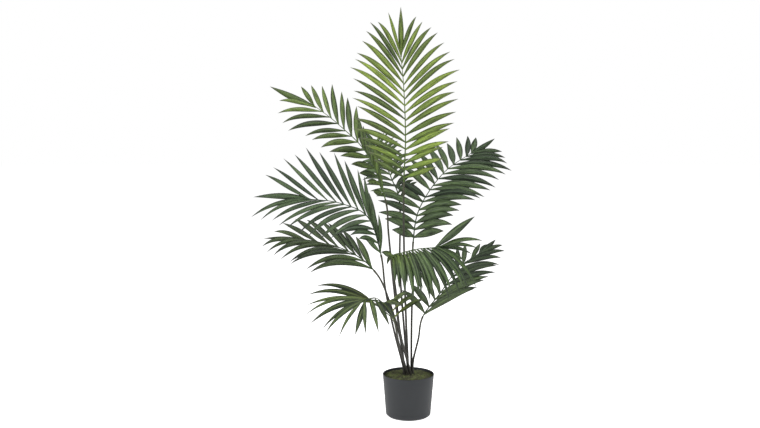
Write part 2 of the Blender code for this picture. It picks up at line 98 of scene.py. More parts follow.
# setting is the stem's place in the ring in degrees, and None is the middle. stalk, joint and spine
# are points that the stem and the midrib run through, from the middle of the pot's rim. left and
# right are the lines of the leaflets' tips, from the lowest pair up, on the two sides of the leaf
# seen from its upper face. end is the tip of the last, single leaflet, which is end_width wide. arch
# is how far a leaflet's middle stands above its ends, on the left and on the right, and bow is how
# far it leans towards the leaf's tip, in the lowest and in the topmost leaflets, both as a share of
# its length. left_turn and right_turn are how far the lowest and the topmost leaflets are turned
# about their length, in degrees. green, base and tip are the colours of a leaflet's middle, of the
# leaflets near the stem, and of the leaflets' tips.
FRONDS = (
    Frond(
        name="crown", setting=None,
        stalk=((-0.010, 0.000, 0.230), (-0.015, 0.005, 0.440)), joint=(-0.015, 0.010, 0.580),
        spine=((-0.010, 0.025, 0.710), (-0.015, 0.040, 0.855), (-0.025, 0.035, 0.965)),
        left=(
            (-0.110, -0.020, 0.650), (-0.155, -0.030, 0.745), (-0.168, -0.025, 0.845),
            (-0.158, -0.015, 0.940), (-0.120, -0.005, 1.030), (-0.070, 0.010, 1.085),
        ),
        right=(
            (0.085, -0.020, 0.630), (0.125, -0.030, 0.735), (0.145, -0.025, 0.835),
            (0.140, -0.015, 0.920), (0.095, -0.005, 1.015), (0.015, 0.010, 1.075),
        ),
        end=(-0.025, 0.020, 1.095), end_width=0.0165, pairs=18, width=0.0200,
        arch=(0.02, 0.02), bow=(0.00, 0.13), left_turn=(0, 0), right_turn=(0, 0),
        seed=11, slot="leaf_bright",
        green=(0.295, 0.360, 0.160), base=(0.225, 0.300, 0.120), tip=(0.300, 0.310, 0.250),
    ),
    Frond(
        name="upper_left", setting=135,
        stalk=((-0.040, 0.015, 0.225), (-0.060, 0.035, 0.420)), joint=(-0.070, 0.050, 0.525),
        spine=((-0.125, 0.085, 0.660), (-0.215, 0.130, 0.750), (-0.295, 0.155, 0.810)),
        left=(
            (-0.105, 0.015, 0.550), (-0.165, 0.030, 0.635), (-0.280, 0.060, 0.700),
            (-0.380, 0.090, 0.755), (-0.395, 0.120, 0.830),
        ),
        right=(
            (-0.085, 0.105, 0.630), (-0.130, 0.150, 0.740), (-0.190, 0.180, 0.845),
            (-0.255, 0.185, 0.875), (-0.335, 0.175, 0.870),
        ),
        end=(-0.425, 0.145, 0.865), end_width=0.0260, pairs=13, width=0.0205,
        arch=(0.06, 0.03), bow=(0.03, 0.10), left_turn=(-15, -20), right_turn=(20, 0),
        seed=12, slot="leaf_olive",
        green=(0.235, 0.300, 0.165), base=(0.240, 0.310, 0.150), tip=(0.240, 0.260, 0.180),
    ),
    Frond(
        name="middle_left", setting=222,
        stalk=((-0.045, -0.015, 0.140), (-0.070, -0.035, 0.265)), joint=(-0.083, -0.050, 0.370),
        spine=((-0.120, -0.085, 0.485), (-0.200, -0.115, 0.530), (-0.295, -0.135, 0.545)),
        left=(
            (-0.120, -0.120, 0.420), (-0.190, -0.150, 0.445), (-0.270, -0.165, 0.435),
            (-0.355, -0.170, 0.470), (-0.460, -0.160, 0.500),
        ),
        right=(
            (-0.095, -0.100, 0.505), (-0.140, -0.100, 0.615), (-0.205, -0.110, 0.670),
            (-0.315, -0.125, 0.685), (-0.420, -0.135, 0.620),
        ),
        end=(-0.445, -0.140, 0.550), end_width=0.0180, pairs=13, width=0.0170,
        arch=(0.13, 0.02), bow=(0.03, 0.07), left_turn=(10, 10), right_turn=(5, 0),
        seed=13, slot="leaf_dark",
        green=(0.175, 0.230, 0.175), base=(0.170, 0.240, 0.155), tip=(0.170, 0.185, 0.175),
    ),
    Frond(
        name="lower_left", setting=180,
        stalk=((-0.025, -0.005, 0.110), (-0.070, 0.005, 0.255)), joint=(-0.105, 0.010, 0.315),
        spine=((-0.155, 0.030, 0.355), (-0.230, 0.050, 0.385), (-0.310, 0.060, 0.395)),
        left=(
            (-0.300, -0.040, 0.315), (-0.335, -0.030, 0.340), (-0.375, -0.010, 0.355),
            (-0.420, 0.010, 0.375), (-0.435, 0.030, 0.395),
        ),
        right=(
            (-0.170, 0.080, 0.420), (-0.225, 0.095, 0.435), (-0.285, 0.100, 0.465),
            (-0.355, 0.100, 0.465), (-0.420, 0.085, 0.435),
        ),
        end=(-0.440, 0.055, 0.405), end_width=0.0190, pairs=8, width=0.0190,
        arch=(0.20, 0.10), bow=(0.06, 0.12), left_turn=(-10, -40), right_turn=(25, 10),
        seed=14, slot="leaf_dark",
        green=(0.165, 0.210, 0.145), base=(0.170, 0.235, 0.130), tip=(0.150, 0.165, 0.145),
    ),
    Frond(
        name="upper_right", setting=45,
        stalk=((0.010, 0.020, 0.165), (0.015, 0.040, 0.315)), joint=(0.015, 0.055, 0.395),
        spine=((0.035, 0.080, 0.495), (0.110, 0.120, 0.600), (0.205, 0.150, 0.665)),
        left=(
            (-0.060, 0.085, 0.430), (-0.100, 0.110, 0.515), (-0.035, 0.120, 0.580),
            (0.015, 0.150, 0.660), (0.100, 0.170, 0.695), (0.220, 0.175, 0.715),
        ),
        right=(
            (0.110, 0.010, 0.440), (0.160, 0.010, 0.505), (0.250, 0.040, 0.560),
            (0.310, 0.080, 0.615), (0.290, 0.120, 0.670),
        ),
        end=(0.270, 0.150, 0.705), end_width=0.0190, pairs=16, width=0.0250,
        arch=(0.01, 0.08), bow=(0.05, 0.10), left_turn=(0, 0), right_turn=(-10, -20),
        seed=15, slot="leaf_dark",
        green=(0.165, 0.220, 0.155), base=(0.170, 0.230, 0.150), tip=(0.165, 0.180, 0.160),
    ),
    Frond(
        name="lower_right", setting=0,
        stalk=((0.015, 0.005, 0.040), (0.030, 0.005, 0.105)), joint=(0.043, 0.000, 0.175),
        spine=((0.095, -0.010, 0.250), (0.150, -0.025, 0.330), (0.210, -0.035, 0.375)),
        left=(
            (-0.020, 0.010, 0.260), (0.045, 0.020, 0.330), (0.130, 0.015, 0.390),
            (0.195, 0.000, 0.395), (0.240, -0.020, 0.405),
        ),
        right=(
            (0.200, -0.050, 0.275), (0.240, -0.060, 0.315), (0.275, -0.065, 0.355),
            (0.280, -0.060, 0.380), (0.275, -0.050, 0.400),
        ),
        end=(0.255, -0.040, 0.415), end_width=0.0200, pairs=10, width=0.0205,
        arch=(0.03, 0.07), bow=(0.05, 0.12), left_turn=(10, 50), right_turn=(0, 0),
        seed=16, slot="leaf_dark",
        green=(0.175, 0.230, 0.155), base=(0.170, 0.220, 0.140), tip=(0.160, 0.180, 0.150),
    ),
    Frond(
        name="front", setting=305,
        stalk=((-0.025, -0.030, 0.130), (-0.040, -0.060, 0.270)), joint=(-0.052, -0.087, 0.365),
        spine=((-0.020, -0.115, 0.387), (0.025, -0.160, 0.405), (0.075, -0.200, 0.415)),
        left=(
            (-0.085, -0.060, 0.375), (-0.015, -0.080, 0.295), (0.065, -0.120, 0.285),
            (0.145, -0.160, 0.370), (0.205, -0.200, 0.435),
        ),
        right=(
            (-0.040, -0.150, 0.305), (-0.005, -0.190, 0.275), (0.060, -0.225, 0.275),
            (0.125, -0.250, 0.295), (0.180, -0.255, 0.315),
        ),
        end=(0.175, -0.230, 0.505), end_width=0.0270, pairs=16, width=0.0180,
        arch=(0.16, 0.16), bow=(0.06, 0.10), left_turn=(45, 100), right_turn=(35, 15),
        seed=17, slot="leaf_dark",
        green=(0.175, 0.240, 0.155), base=(0.240, 0.300, 0.140), tip=(0.170, 0.200, 0.150),
    ),
    Frond(
        name="bottom_left", setting=262,
        stalk=((-0.012, -0.020, 0.035), (-0.030, -0.025, 0.100)), joint=(-0.045, -0.047, 0.175),
        spine=((-0.075, -0.085, 0.230), (-0.100, -0.125, 0.257), (-0.130, -0.170, 0.260)),
        left=(
            (0.055, -0.100, 0.255), (-0.010, -0.140, 0.270), (-0.050, -0.190, 0.195),
            (-0.075, -0.220, 0.180), (-0.120, -0.240, 0.175),
        ),
        right=(
            (-0.270, -0.060, 0.290), (-0.300, -0.100, 0.245), (-0.295, -0.150, 0.205),
            (-0.255, -0.200, 0.180), (-0.200, -0.230, 0.170),
        ),
        end=(-0.155, -0.245, 0.175), end_width=0.0180, pairs=8, width=0.0205,
        arch=(0.18, 0.18), bow=(0.06, 0.12), left_turn=(100, 75), right_turn=(100, 90),
        seed=18, slot="leaf_olive",
        green=(0.190, 0.245, 0.165), base=(0.310, 0.350, 0.140), tip=(0.170, 0.190, 0.155),
    ),
    Frond(
        name="rear", setting=90,
        stalk=((-0.010, 0.030, 0.100), (-0.025, 0.065, 0.310)), joint=(-0.025, 0.120, 0.505),
        spine=((-0.050, 0.155, 0.580), (-0.080, 0.215, 0.645), (-0.105, 0.290, 0.680)),
        left=(
            (-0.105, 0.180, 0.525), (-0.145, 0.220, 0.585), (-0.155, 0.270, 0.635),
            (-0.145, 0.320, 0.675), (-0.125, 0.350, 0.705),
        ),
        right=(
            (0.030, 0.190, 0.560), (0.015, 0.225, 0.625), (-0.010, 0.270, 0.675),
            (-0.040, 0.320, 0.710), (-0.075, 0.350, 0.725),
        ),
        end=(-0.135, 0.375, 0.720), end_width=0.0160, pairs=12, width=0.0175,
        arch=(0.08, 0.08), bow=(0.06, 0.12), left_turn=(0, 0), right_turn=(0, 0),
        seed=19, slot="leaf_dark",
        green=(0.185, 0.250, 0.155), base=(0.200, 0.260, 0.150), tip=(0.170, 0.190, 0.150),
    ),
)


# ---------------------------------------------------------------- sizes and colours a user may set


def colour_property(name, description, default):
    return FloatVectorProperty(
        name=name, description=description, default=default, subtype="COLOR", min=0.0, max=1.0
    )


def length_property(name, description, default):
    return FloatProperty(name=name, description=description, default=default, unit="LENGTH")


class PalmPotSettings(bpy.types.PropertyGroup):
    """The pot's own sizes. Its outside comes from the solid."""

    foot_radius: length_property("Foot radius", "Outer radius just above the sloped foot", 0.068)
    foot_slope: length_property("Foot slope", "Height and depth of the sloped foot", 0.007)
    wall: length_property("Wall", "Thickness of the wall", 0.0026)
    sides: IntProperty(name="Sides", description="Steps round the pot", default=120)
    plastic: colour_property("Plastic", "Colour of the pot", (0.120, 0.129, 0.139))


class PalmMossSettings(bpy.types.PropertyGroup):
    """The moss and the soil under it."""

    tufts: IntProperty(name="Tufts", description="Tufts to a square metre", default=90000)
    tuft_height: length_property("Tuft height", "Height of the tallest tufts", 0.0055)
    lumps: length_property("Lumps", "How far the moss rises and falls", 0.0028)
    green: colour_property("Green", "Colour of the fresh moss", (0.455, 0.495, 0.30))
    brown: colour_property("Brown", "Colour of the dry moss", (0.365, 0.375, 0.28))
    soil: colour_property("Soil", "Colour of the soil", (0.16, 0.12, 0.09))


class PalmStemSettings(bpy.types.PropertyGroup):
    """The stems."""

    foot_radius: length_property("Foot radius", "Radius at the moss", 0.0037)
    top_radius: length_property("Top radius", "Radius at the joint", 0.0027)
    collar: FloatProperty(
        name="Collar", description="How much wider the sheath is at the joint", default=0.22
    )
    bark: colour_property("Bark", "Colour of the stems", (0.155, 0.150, 0.128))
    young: colour_property("Young bark", "Colour of the stems' upper ends", (0.20, 0.205, 0.14))


class PalmLeafSettings(bpy.types.PropertyGroup):
    """What all the leaflets share."""

    sides: IntProperty(name="Sides", description="Points round a leaflet's section", default=12)
    fold: FloatProperty(
        name="Fold", description="How far the edges fall, as a share of half the width", default=0.55
    )
    thickness: FloatProperty(
        name="Thickness", description="Half thickness as a share of half the width", default=0.055
    )
    droop: FloatProperty(
        name="Droop", description="How far the tips hang, as a share of the leaflet", default=0.045
    )
    rib_width: length_property("Midrib", "Width of the midrib at the joint", 0.0046)
    rib_tip_width: length_property("Midrib tip", "Width of the midrib at its tip", 0.0018)
    veins: IntProperty(name="Veins", description="Veins across half a leaflet", default=5)


class PalmStudioSettings(bpy.types.PropertyGroup):
    """The studio."""

    lens: FloatProperty(name="Lens", description="Focal length of the camera", default=48.0)
    key: FloatProperty(
        name="Key light", description="Power of the right light", default=92.0, unit="POWER"
    )
    sky: FloatProperty(name="Surround", description="How much the white surround lights", default=0.36)
    glow: FloatProperty(name="Floor glow", description="Light that the floor gives off", default=0.69)


# ------------------------------------------------------------------------- node trees from Python


class Signal:
    """One output of a node, which Python's own operators turn into Math nodes."""

    def __init__(self, board, node, output):
        self.board = board
        self.node = node
        self.output = output

    @property
    def socket(self):
        return self.node.outputs[self.output]

    def __add__(self, other):
        return self.board.maths("ADD", self, other)

    __radd__ = __add__

    def __sub__(self, other):
        return self.board.maths("SUBTRACT", self, other)

    def __rsub__(self, other):
        return self.board.maths("SUBTRACT", other, self)

    def __mul__(self, other):
        return self.board.maths("MULTIPLY", self, other)

    __rmul__ = __mul__

    def __gt__(self, other):
        return self.board.maths("GREATER_THAN", self, other)


class Board:
    """A node tree that is written node by node."""

    def __init__(self, tree):
        self.tree = tree

    def add(self, kind, settings=None, sockets=None, output=0):
        """Adds a node, makes its settings, fills its sockets and returns one of its outputs."""
        node = self.tree.nodes.new(kind)
        for name, value in (settings or {}).items():
            if name == "stops":
                self.set_stops(node.color_ramp, value)
            else:
                setattr(node, name, value)
        for name, value in (sockets or {}).items():
            self.fill(node.inputs[name], value)
        return Signal(self, node, output)

    def fill(self, socket, value):
        if isinstance(value, Signal):
            self.tree.links.new(value.socket, socket)
        elif isinstance(value, list):
            for one in value:
                self.tree.links.new(one.socket, socket)
        else:
            socket.default_value = value

    def set_stops(self, ramp, stops):
        while len(ramp.elements) < len(stops):
            ramp.elements.new(1.0)
        for element, (place, grey) in zip(ramp.elements, stops):
            element.position = place
            element.color = (grey, grey, grey, 1.0)

    def maths(self, operation, *values):
        return self.add("ShaderNodeMath", {"operation": operation}, dict(enumerate(values)))

    def ramp(self, value, *stops):
        """A value eased through stops of (place, level)."""
        settings = {"stops": stops}
        return self.add("ShaderNodeValToRGB", settings, {"Fac": value})

    def mix(self, share, one, two):
        """A colour between two, which are each a colour or a Signal."""
        sockets = {0: share, 6: opaque(one), 7: opaque(two)}
        return self.add("ShaderNodeMix", {"data_type": "RGBA"}, sockets, output=2)

    def toned(self, share, colour, where, low, high):
        """A colour multiplied by low where a pattern is 0 and by high where it is 1, to some share."""
        settings = {"data_type": "RGBA", "blend_type": "MULTIPLY"}
        sockets = {0: share, 6: colour, 7: self.mix(where, low, high)}
        return self.add("ShaderNodeMix", settings, sockets, output=2)

    def noise(self, where, scale, detail=3.0, roughness=0.55):
        sockets = {"Vector": where, "Scale": scale, "Detail": detail, "Roughness": roughness}
        return self.add("ShaderNodeTexNoise", None, sockets)

    def attribute(self, name):
        """A value that each point of the piece carries."""
        return self.add("ShaderNodeAttribute", {"attribute_name": name}, output=2)

    def vector(self, x, y, z):
        return self.add("ShaderNodeCombineXYZ", None, {"X": x, "Y": y, "Z": z})

    def parts(self, vector):
        split = self.add("ShaderNodeSeparateXYZ", None, {"Vector": vector})
        return [Signal(self, split.node, axis) for axis in range(3)]


def linear(colour):
    """A colour as the eye sees it, in the numbers that light adds up in."""
    return tuple(((part + 0.055) / 1.055) ** 2.4 if part > 0.04045 else part / 12.92 for part in colour)


def opaque(colour):
    if isinstance(colour, Signal):
        return colour
    return (*colour, 1.0)


def scaled(colour, times, lift=0.0):
    return tuple(part * times + lift for part in colour)


class Surface(Board):
    """A material of one Principled shader."""

    def __init__(self, name):
        self.material = bpy.data.materials.new(name)
        self.material.use_nodes = True
        super().__init__(self.material.node_tree)
        self.shader = self.tree.nodes["Principled BSDF"]

    def object_place(self):
        return self.add("ShaderNodeTexCoord", None, None, output=3)

    def finish(self, colour, roughness, height=None, strength=0.3, depth=0.0005):
        """Feeds the shader, with a bump where there is a height."""
        self.fill(self.shader.inputs["Base Color"], colour)
        self.fill(self.shader.inputs["Roughness"], roughness)
        if height:
            sockets = {"Strength": strength, "Distance": depth, "Height": height}
            self.fill(self.shader.inputs["Normal"], self.add("ShaderNodeBump", None, sockets))
        return self.material


# ------------------------------------------------------------------------------- Geometry Nodes


def new_tree(name, inputs):
    """A geometry tree with a geometry input, the named inputs after it, and a geometry output."""
    tree = bpy.data.node_groups.new(name, "GeometryNodeTree")
    tree.interface.new_socket("Geometry", in_out="INPUT", socket_type="NodeSocketGeometry")
    for label, kind in inputs:
        tree.interface.new_socket(label, in_out="INPUT", socket_type=kind)
    tree.interface.new_socket("Geometry", in_out="OUTPUT", socket_type="NodeSocketGeometry")
    board = Board(tree)
    source = board.add("NodeGroupInput").node
    named = {label: Signal(board, source, label) for label in ("Geometry", *(label for label, _ in inputs))}
    return board, named


def end_tree(board, geometry, material):
    """Ends a tree in real geometry with its material."""
    real = board.add("GeometryNodeRealizeInstances", None, {"Geometry": geometry})
    made = board.add("GeometryNodeSetMaterial", None, {"Geometry": real, "Material": material})
    board.add("NodeGroupOutput", None, {"Geometry": made})
    return board.tree


def carried(board, name, data_type="FLOAT"):
    """A value that the guide's points carry."""
    return board.add("GeometryNodeInputNamedAttribute", {"data_type": data_type}, {"Name": name})


def section(board, sides, thickness, fold):
    """A flat or round section that is 2 wide, folded down on both sides of its middle."""
    ring = board.add("GeometryNodeCurvePrimitiveCircle", None, {"Resolution": sides, "Radius": 1.0})
    x, y, _ = board.parts(board.add("GeometryNodeInputPosition"))
    ring = store(board, ring, "side", x)
    ring = store(board, ring, "upper", y > 0.0)
    height = y * thickness - fold * board.maths("ABSOLUTE", x)
    place = board.vector(x, height, 0.0)
    return board.add("GeometryNodeSetPosition", None, {"Geometry": ring, "Position": place})


def store(board, geometry, name, value):
    sockets = {"Geometry": geometry, "Name": name, "Value": value}
    return board.add("GeometryNodeStoreNamedAttribute", None, sockets)


def swept(board, lines, sides, thickness, fold):
    """A section run along each line, as wide as the line's points say."""
    curves = board.add("GeometryNodeMeshToCurve", None, {"Mesh": lines})
    facing = {"Curve": curves, "Normal": carried(board, "across", "FLOAT_VECTOR")}
    turned = board.add("GeometryNodeSetCurveNormal", {"mode": "FREE"}, facing)
    sockets = {
        "Curve": turned,
        "Profile Curve": section(board, sides, thickness, fold),
        "Scale": carried(board, "breadth"),
        "Fill Caps": True,
    }
    skin = board.add("GeometryNodeCurveToMesh", None, sockets)
    return board.add("GeometryNodeSetShadeSmooth", None, {"Geometry": skin})


def rod_tree():
    """Round rods along guide lines."""
    board, given = new_tree("palm_rods", (("Sides", "NodeSocketInt"), ("Material", "NodeSocketMaterial")))
    rods = swept(board, given["Geometry"], given["Sides"], 1.0, 0.0)
    return end_tree(board, rods, given["Material"])


def leaf_tree():
    """Folded blades along the guide lines of the leaflets, and a rod along the midrib's."""
    board, given = new_tree(
        "palm_leaf",
        (
            ("Sides", "NodeSocketInt"),
            ("Thickness", "NodeSocketFloat"),
            ("Fold", "NodeSocketFloat"),
            ("Rib flatness", "NodeSocketFloat"),
            ("Material", "NodeSocketMaterial"),
        ),
    )
    is_rib = carried(board, "rib") > 0.5
    sorting = {"Geometry": given["Geometry"], "Selection": is_rib}
    ribs = board.add("GeometryNodeSeparateGeometry", None, sorting)
    leaflets = Signal(board, ribs.node, 1)
    blades = swept(board, leaflets, given["Sides"], given["Thickness"], given["Fold"])
    rib = swept(board, ribs, given["Sides"], given["Rib flatness"], 0.0)
    joined = board.add("GeometryNodeJoinGeometry", None, {"Geometry": [blades, rib]})
    return end_tree(board, joined, given["Material"])


def drawn(board, least, most, seed):
    """A number drawn at random for each point."""
    sockets = {"Min": least, "Max": most, "Seed": seed}
    return board.add("FunctionNodeRandomValue", {"data_type": "FLOAT"}, sockets, output=1)


def moss_tree():
    """Tufts scattered on a cushion's upper side, with the cushion under them."""
    board, given = new_tree(
        "palm_moss",
        (
            ("Density", "NodeSocketFloat"),
            ("Tuft", "NodeSocketObject"),
            ("Least", "NodeSocketFloat"),
            ("Most", "NodeSocketFloat"),
            ("Seed", "NodeSocketInt"),
            ("Wall radius", "NodeSocketFloat"),
            ("Material", "NodeSocketMaterial"),
        ),
    )
    up = board.parts(board.add("GeometryNodeInputNormal"))[2]
    sockets = {
        "Mesh": given["Geometry"],
        "Selection": up > 0.45,
        "Density": given["Density"],
        "Seed": given["Seed"],
    }
    points = board.add("GeometryNodeDistributePointsOnFaces", None, sockets)
    tuft = board.add("GeometryNodeObjectInfo", None, {"Object": given["Tuft"]}, output=4)
    turn = drawn(board, 0.0, math.tau, given["Seed"])
    size = drawn(board, given["Least"], given["Most"], given["Seed"])
    sockets = {
        "Points": points,
        "Instance": tuft,
        "Rotation": board.vector(0.0, 0.0, turn),
        "Scale": board.vector(size, size, size),
    }
    tufts = board.add("GeometryNodeInstanceOnPoints", None, sockets)
    joined = board.add("GeometryNodeJoinGeometry", None, {"Geometry": [given["Geometry"], tufts]})
    return end_tree(board, inside_wall(board, joined, given["Wall radius"]), given["Material"])


def inside_wall(board, geometry, radius):
    """Presses what reaches past a round wall back to it."""
    real = board.add("GeometryNodeRealizeInstances", None, {"Geometry": geometry})
    x, y, z = board.parts(board.add("GeometryNodeInputPosition"))
    spread = board.maths("SQRT", x * x + y * y)
    pull = board.maths("MINIMUM", 1.0, board.maths("DIVIDE", radius, spread))
    sockets = {"Geometry": real, "Position": board.vector(x * pull, y * pull, z)}
    return board.add("GeometryNodeSetPosition", None, sockets)


def grown(guide, tree, values, name):
    """The plain mesh that a tree makes of a guide, as a new object. The guide is removed."""
    modifier = guide.modifiers.new("grow", "NODES")
    modifier.node_group = tree
    for item in tree.interface.items_tree:
        if item.in_out == "INPUT" and item.name in values:
            modifier[item.identifier] = values[item.name]
    graph = bpy.context.evaluated_depsgraph_get()
    mesh = bpy.data.meshes.new_from_object(guide.evaluated_get(graph))
    mesh.name = name
    spare = guide.data
    bpy.data.objects.remove(guide, do_unlink=True)
    bpy.data.meshes.remove(spare)
    return placed(mesh, name)


def skinned(skin, name, smooth=True):
    """The mesh object of a bmesh, which is freed."""
    mesh = bpy.data.meshes.new(name)
    skin.to_mesh(mesh)
    skin.free()
    if smooth:
        mesh.shade_smooth()
    return placed(mesh, name)


def placed(mesh, name):
    obj = bpy.data.objects.new(name, mesh)
    bpy.context.scene.collection.objects.link(obj)
    return obj


def kept(obj, slot, *nodes):
    """Rides a finished piece on the object's one body, in the place of its solids."""
    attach(obj, "root")
    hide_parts(*nodes)


# -------------------------------------------------------------------------------- lines and guides


class Line:
    """A smooth line through points, followed by the share of its length from 0 to 1."""

    STEPS = 24
    NUDGE = 0.01

    def __init__(self, points):
        self.knots = [Vector(point) for point in points]
        spans = len(self.knots) - 1
        self.trail = [self.blend(step / self.STEPS) for step in range(spans * self.STEPS + 1)]
        self.reach = [0.0]
        for before, after in zip(self.trail, self.trail[1:]):
            self.reach.append(self.reach[-1] + (after - before).length)
        self.length = self.reach[-1]

    def blend(self, place):
        """Catmull-Rom point, where place counts knots from the first."""
        span = min(int(place), len(self.knots) - 2)
        t = place - span
        one, two = self.knots[span], self.knots[span + 1]
        before = self.knots[span - 1] if span else one * 2 - two
        after = self.knots[span + 2] if span + 2 < len(self.knots) else two * 2 - one
        straight = one * 2 + (two - before) * t
        bend = (before * 2 - one * 5 + two * 4 - after) * t ** 2
        twist = (one * 3 - before - two * 3 + after) * t ** 3
        return (straight + bend + twist) / 2

    def at(self, share):
        """The point that share of the way along."""
        wanted = share * self.length
        step = max(1, next((i for i, far in enumerate(self.reach) if far >= wanted), len(self.reach) - 1))
        span = self.reach[step] - self.reach[step - 1]
        rest = (wanted - self.reach[step - 1]) / span
        return self.trail[step - 1].lerp(self.trail[step], rest)

    def heading(self, share):
        """The unit direction that share of the way along."""
        ahead = self.at(min(share + self.NUDGE, 1.0))
        return (ahead - self.at(max(share - self.NUDGE, 0.0))).normalized()


class Guide:
    """Lines for a node tree to build on, with values at their points."""

    FLOATS = ("breadth", "along", "row", "tint", "rib")

    def __init__(self):
        self.points = []
        self.edges = []
        self.across = []
        self.values = {name: [] for name in self.FLOATS}

    def line(self, points, across, **values):
        """Adds a line. A value is one number for the whole line, or one for each point."""
        first = len(self.points)
        self.points.extend(points)
        self.across.extend(across)
        self.edges.extend((first + i, first + i + 1) for i in range(len(points) - 1))
        for name in self.FLOATS:
            value = values.get(name, 0.0)
            many = value if isinstance(value, list) else [value] * len(points)
            self.values[name].extend(many)

    def object(self, name):
        mesh = bpy.data.meshes.new(name)
        mesh.from_pydata(self.points, self.edges, [])
        facing = mesh.attributes.new("across", "FLOAT_VECTOR", "POINT")
        facing.data.foreach_set("vector", [part for way in self.across for part in way])
        for label, numbers in self.values.items():
            mesh.attributes.new(label, "FLOAT", "POINT").data.foreach_set("value", numbers)
        return placed(mesh, name)


def on_rim(*points):
    """A frond's points, stood on the middle of the pot's rim."""
    rim = Vector((0.0, 0.0, POT_HIGH.z))
    return [rim + Vector(point) for point in points]


def stem_foot(frond, radius):
    """Where a stem comes out of the moss. The ring keeps the closest two stems apart."""
    ground = MOSS_HIGH.z
    if frond.setting is None:
        return Vector((0.0, 0.0, ground))
    settings = sorted(other.setting for other in FRONDS if other.setting is not None)
    closest = min(after - before for before, after in zip(settings, settings[1:]))
    ring = (radius + STEM_GAP / 2) / math.sin(math.radians(closest) / 2)
    angle = math.radians(frond.setting)
    return Vector((ring * math.cos(angle), ring * math.sin(angle), ground))


def frond_route(frond, radius):
    """The whole line from the stem's lower end to the midrib's tip, and the share that is stem."""
    foot = stem_foot(frond, radius)
    to_joint = [foot - Vector((0.0, 0.0, STEM_DEPTH)), foot, *on_rim(*frond.stalk, frond.joint)]
    whole = Line([*to_joint, *on_rim(*frond.spine)])
    return whole, Line(to_joint).length / whole.length


def square_to(way, heading):
    """The part of a direction that is square to a heading, as a unit."""
    return (way - heading * way.dot(heading)).normalized()


# ------------------------------------------------------------------------------------------- pot


def pot_outline(settings):
    """Points (radius, height) from the middle of the floor, up inside, over the rim and down."""
    top = POT_HIGH.z
    rim = POT_HIGH.x
    slope = settings.foot_slope
    foot = settings.foot_radius
    wall = settings.wall
    inner_floor = POT_LOW.z + FLOOR_THICKNESS
    lean = (rim - foot) / (top - slope)
    lip = wall / 2
    inner_top = rim - lean * lip - wall
    points = [(0.0, inner_floor), (foot - slope - wall, inner_floor)]
    points.append((foot - wall, inner_floor + slope))
    points.append((inner_top, top - lip))
    points.extend(arc((rim - lean * lip - lip, top - lip), lip, 180, 0, 10))
    points.extend(
        (foot + lean * (height - slope), height) for height in (top * 0.66, top * 0.33, slope * 1.6)
    )
    points.extend(arc((foot - slope * 0.6, slope * 1.05), slope * 0.6, 0, -52, 6))
    points.extend(arc((foot - slope * 1.0, 0.0014), 0.0014, -30, -90, 4))
    points.append((0.0, 0.0))
    return points


def arc(centre, radius, first, last, steps):
    """Points round part of a circle, between two angles in degrees."""
    made = []
    for step in range(steps + 1):
        angle = math.radians(first + (last - first) * step / steps)
        made.append((centre[0] + radius * math.cos(angle), centre[1] + radius * math.sin(angle)))
    return made


def turned(outline, sides, name):
    """An outline of (radius, height) turned about Z, as a closed smooth mesh."""
    skin = bmesh.new()
    verts = [skin.verts.new((radius, 0.0, height)) for radius, height in outline]
    edges = [skin.edges.new(pair) for pair in zip(verts, verts[1:])]
    bmesh.ops.spin(
        skin, geom=verts + edges, cent=(0, 0, 0), axis=(0, 0, 1), angle=math.tau,
        steps=sides, use_merge=True,
    )
    bmesh.ops.remove_doubles(skin, verts=skin.verts, dist=0.00001)
    bmesh.ops.recalc_face_normals(skin, faces=skin.faces)
    made = skinned(skin, name)
    made.data.set_sharp_from_angle(angle=math.radians(40))
    return made


def pot_material(colour):
    """Satin moulded plastic: nearly even, with a fine grain and faint rubbed patches."""
    made = Surface("pot_plastic")
    made.shader.inputs["Specular IOR Level"].default_value = 0.3
    place = made.object_place()
    grain = made.noise(place, 900.0, 2.0)
    cloud = made.noise(place, 14.0, 4.0)
    rubbed = made.ramp(cloud, (0.42, 0.0), (0.72, 1.0))
    plain = linear(colour)
    shade = made.mix(rubbed * 0.6, plain, scaled(plain, 1.18))
    roughness = 0.46 + 0.10 * cloud + 0.05 * grain
    return made.finish(shade, roughness, grain, strength=0.10, depth=0.0002)


class PALM_OT_pot(bpy.types.Operator):
    """Make the pot with its rounded rim and foot"""

    bl_idname = "palm.pot"
    bl_label = "Make pot"

    def execute(self, context):
        settings = context.scene.palm_pot
        pot = turned(pot_outline(settings), settings.sides, "pot_shell")
        pot.data.materials.append(pot_material(settings.plastic))
        kept(pot, "pot_plastic", "pot")
        return {"FINISHED"}


# -------------------------------------------------------------------------------- soil and moss


def soil_material(colour):
    """Crumbly dark soil."""
    made = Surface("soil_crumbs")
    place = made.object_place()
    crumbs = made.noise(place, 220.0, 5.0, 0.7)
    clods = made.noise(place, 60.0, 3.0)
    plain = linear(colour)
    shade = made.mix(crumbs, scaled(plain, 0.5), scaled(plain, 1.7))
    return made.finish(shade, 0.9 + 0.08 * clods, crumbs + clods, strength=0.8, depth=0.002)


class PALM_OT_soil(bpy.types.Operator):
    """Give the soil its crumbs"""

    bl_idname = "palm.soil"
    bl_label = "Finish soil"

    def execute(self, context):
        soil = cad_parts["soil"]
        soil.data.materials.clear()
        soil.data.materials.append(soil_material(context.scene.palm_moss.soil))
        return {"FINISHED"}


def moss_height(x, y, rim, lumps):
    """The cushion's height: low at the wall, higher in the middle, and lumpy."""
    edge = POT_HIGH.z - MOSS_EDGE
    share = min(1.0, math.hypot(x, y) / rim)
    rise = (MOSS_HIGH.z - edge) * math.cos(share * math.pi / 2) ** 0.8
    place = Vector((x, y, 0.0))
    rough = noise.noise(place * 70.0) * lumps + noise.noise(place * 190.0) * lumps * 0.45
    return edge + rise + rough * (1.0 - 0.5 * share ** 4)


